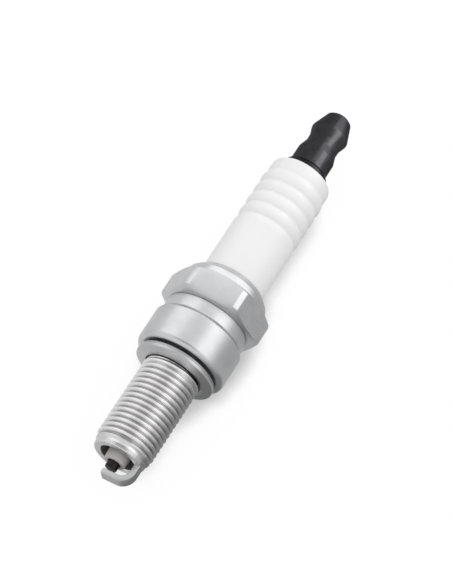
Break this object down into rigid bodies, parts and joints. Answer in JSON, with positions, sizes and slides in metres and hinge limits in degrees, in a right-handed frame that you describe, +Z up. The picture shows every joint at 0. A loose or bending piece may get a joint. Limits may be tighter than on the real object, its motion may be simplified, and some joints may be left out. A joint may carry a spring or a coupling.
{
  "type": "spark plug",
  "caption": "Long-reach motorcycle spark plug: threaded and hexed plated shell, crush gasket, ribbed white insulator, side-wire electrode and a black screw-on terminal nut.",
  "frame": {"origin": "centre of the shell's gasket seat, on the plug's axis", "axes": "+X along the axis from the firing end towards the terminal, +Z up out of a hexagon flat; the plug lies on the opposite flat"},
  "size_m": [0.0758, 0.0178, 0.016],
  "materials": {
    "plated_steel": "bright zinc or nickel plate, turned",
    "nickel_strap": "satin nickel alloy",
    "gasket_steel": "plated sheet steel, folded",
    "glazed_ceramic": "white gloss glaze, matt on the nose",
    "dark_nickel": "dark nickel alloy",
    "copper": "plain copper",
    "copper_glass": "opaque conductive glass",
    "resistor_carbon": "carbon and glass, matt",
    "stud_steel": "plain steel",
    "black_steel": "black oxide, satin",
    "soft_steel": "soft steel",
    "talc": "pressed powder"
  },
  "bodies": {
    "plug_body": {"metal_shell": "plated_steel", "ground_electrode": "nickel_strap", "insulator": "glazed_ceramic", "centre_electrode": "dark_nickel", "copper_core": "copper", "lower_glass_seal": "copper_glass", "resistor": "resistor_carbon", "upper_glass_seal": "copper_glass", "terminal_stud": "stud_steel", "upper_packing_ring": "soft_steel", "talc_packing": "talc", "lower_packing_ring": "soft_steel", "seat_packing_washer": "soft_steel"},
    "gasket": {"crush_gasket": "gasket_steel"},
    "washer": {"terminal_washer": "black_steel"},
    "nut": {"terminal_nut": "black_steel"}
  },
  "joints": [
    {"name": "gasket_slide", "type": "slide", "parent": "plug_body", "child": "gasket", "axis": [1, 0, 0], "range_m": [-0.001, 0.0004]},
    {"name": "nut_turn", "type": "hinge", "parent": "plug_body", "child": "washer", "pos_m": [0.0408, 0, 0], "axis": [1, 0, 0], "range_deg": [0, 3600.1]},
    {"name": "nut_advance", "type": "slide", "parent": "washer", "child": "nut", "axis": [1, 0, 0], "range_m": [0, 0.007]}
  ],
  "couplings": [
    {"joint": "nut_turn", "follows": "nut_advance", "rad_per_m": 8976}
  ]
}
